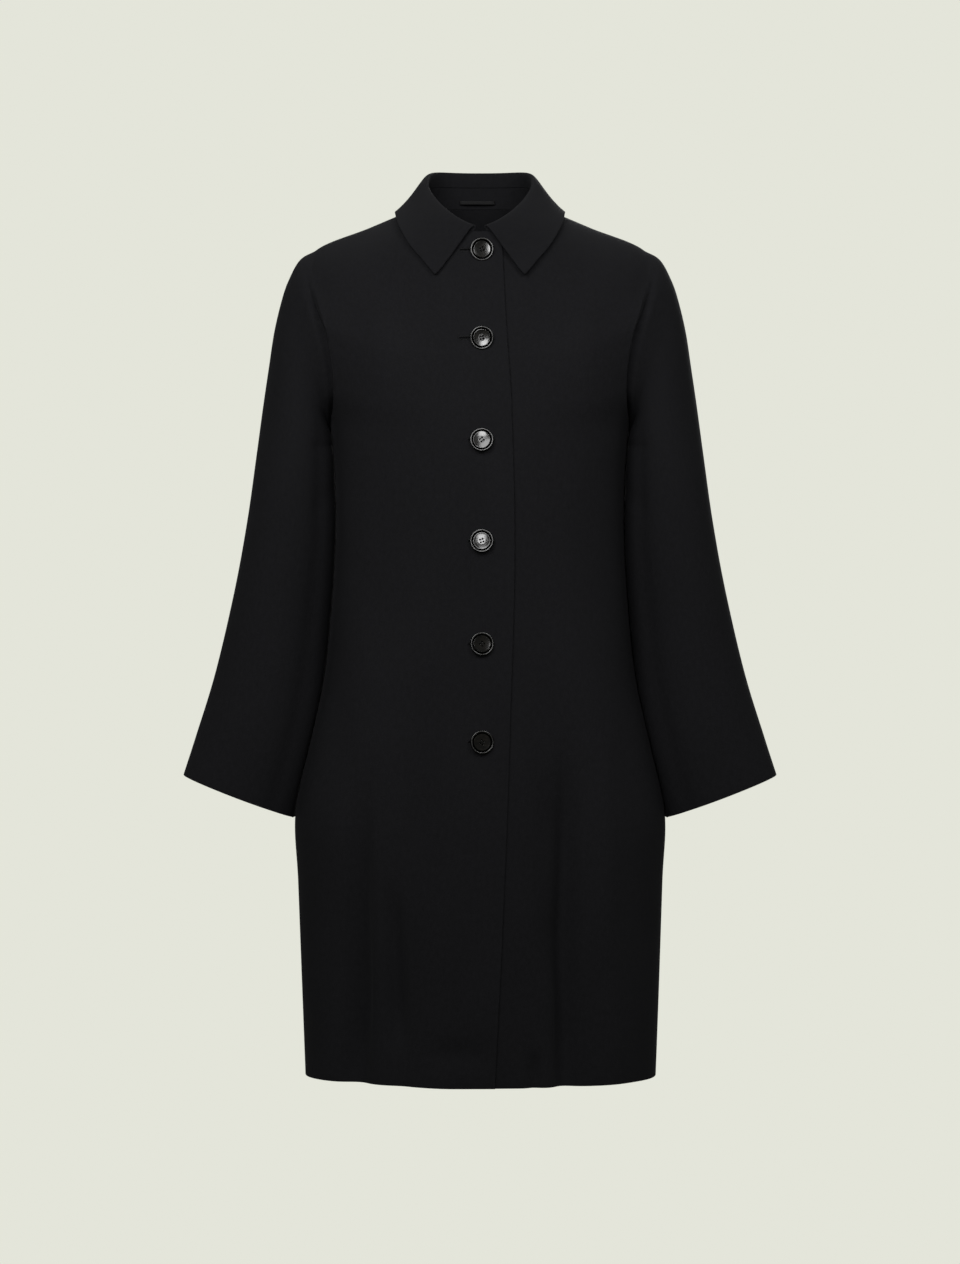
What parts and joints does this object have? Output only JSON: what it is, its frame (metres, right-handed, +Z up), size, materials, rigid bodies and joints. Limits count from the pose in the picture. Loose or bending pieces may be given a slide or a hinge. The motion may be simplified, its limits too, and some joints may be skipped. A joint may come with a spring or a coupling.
{
  "type": "boxy coat",
  "caption": "Hollow single-breasted black coat with a pointed shirt collar, wide flared sleeves, large buttons down the front and a straight hem, filled out as worn with no wearer.",
  "frame": {"origin": "between the shoulders, level with the sides of the neck, where the wearer's shoulders hold the coat", "axes": "+Z up from hem to collar, -Y out of the buttoned front, +X to the wearer's left"},
  "size_m": [0.6498, 0.264, 0.9945],
  "materials": {
    "coat_cloth": "matte black crepe with a soft nap",
    "loop_braid": "smooth black braid",
    "button_horn": "polished black"
  },
  "bodies": {
    "root": {"front_right": "coat_cloth", "front_left": "coat_cloth", "back": "coat_cloth", "sleeve_right": "coat_cloth", "sleeve_left": "coat_cloth", "collar_stand": "coat_cloth", "collar_fall": "coat_cloth", "hanger_loop": "loop_braid", "button_1": "button_horn", "button_2": "button_horn", "button_3": "button_horn", "button_4": "button_horn", "button_5": "button_horn", "button_6": "button_horn"}
  },
  "joints": []
}
